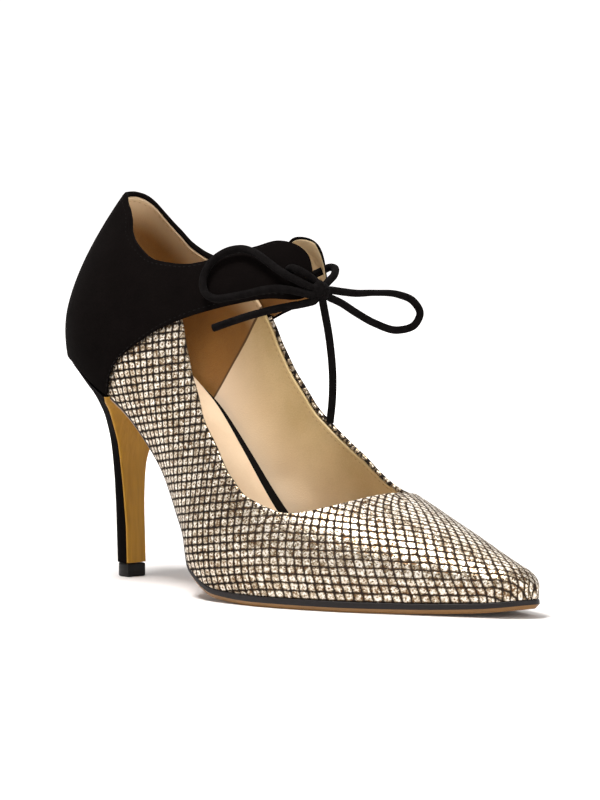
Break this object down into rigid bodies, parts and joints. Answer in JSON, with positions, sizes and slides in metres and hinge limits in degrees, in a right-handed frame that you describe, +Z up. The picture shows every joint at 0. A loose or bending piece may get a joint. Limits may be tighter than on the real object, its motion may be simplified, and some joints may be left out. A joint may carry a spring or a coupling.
{
  "type": "heeled mary jane shoe",
  "caption": "Pointed high-heeled pump in a glittering net fabric with a black suede heel counter, instep straps tied with a suede cord bow, and a slim covered heel.",
  "frame": {"origin": "on the floor under the middle of the shoe, at the bottom centre of its bounding box without the free lace", "axes": "+X runs from the back of the heel to the toe, +Y points to the inner side of the foot, +Z points up"},
  "size_m": [0.2268, 0.0782, 0.1443],
  "materials": {
    "glitter_net": "champagne glitter fabric with a black square net",
    "black_suede": "matt black suede",
    "sole_leather": "smooth tan sole leather with an inked edge",
    "sock_leather": "smooth beige lining leather",
    "black_board": "black covered insole board",
    "lift_rubber": "hard black top lift",
    "suede_cord": "round black suede cord"
  },
  "bodies": {
    "root": {"upper": "glitter_net", "quarter_outer": "black_suede", "quarter_inner": "black_suede", "outsole": "sole_leather", "insole": "black_board", "sock": "sock_leather", "heel": "black_suede", "heel_breast": "sole_leather", "top_lift": "lift_rubber", "lace_tie": "suede_cord", "lace_knot": "suede_cord", "lace_loop_outer": "suede_cord", "lace_loop_inner": "suede_cord", "lace_end_outer": "suede_cord", "lace_end_inner": "suede_cord"}
  },
  "joints": []
}
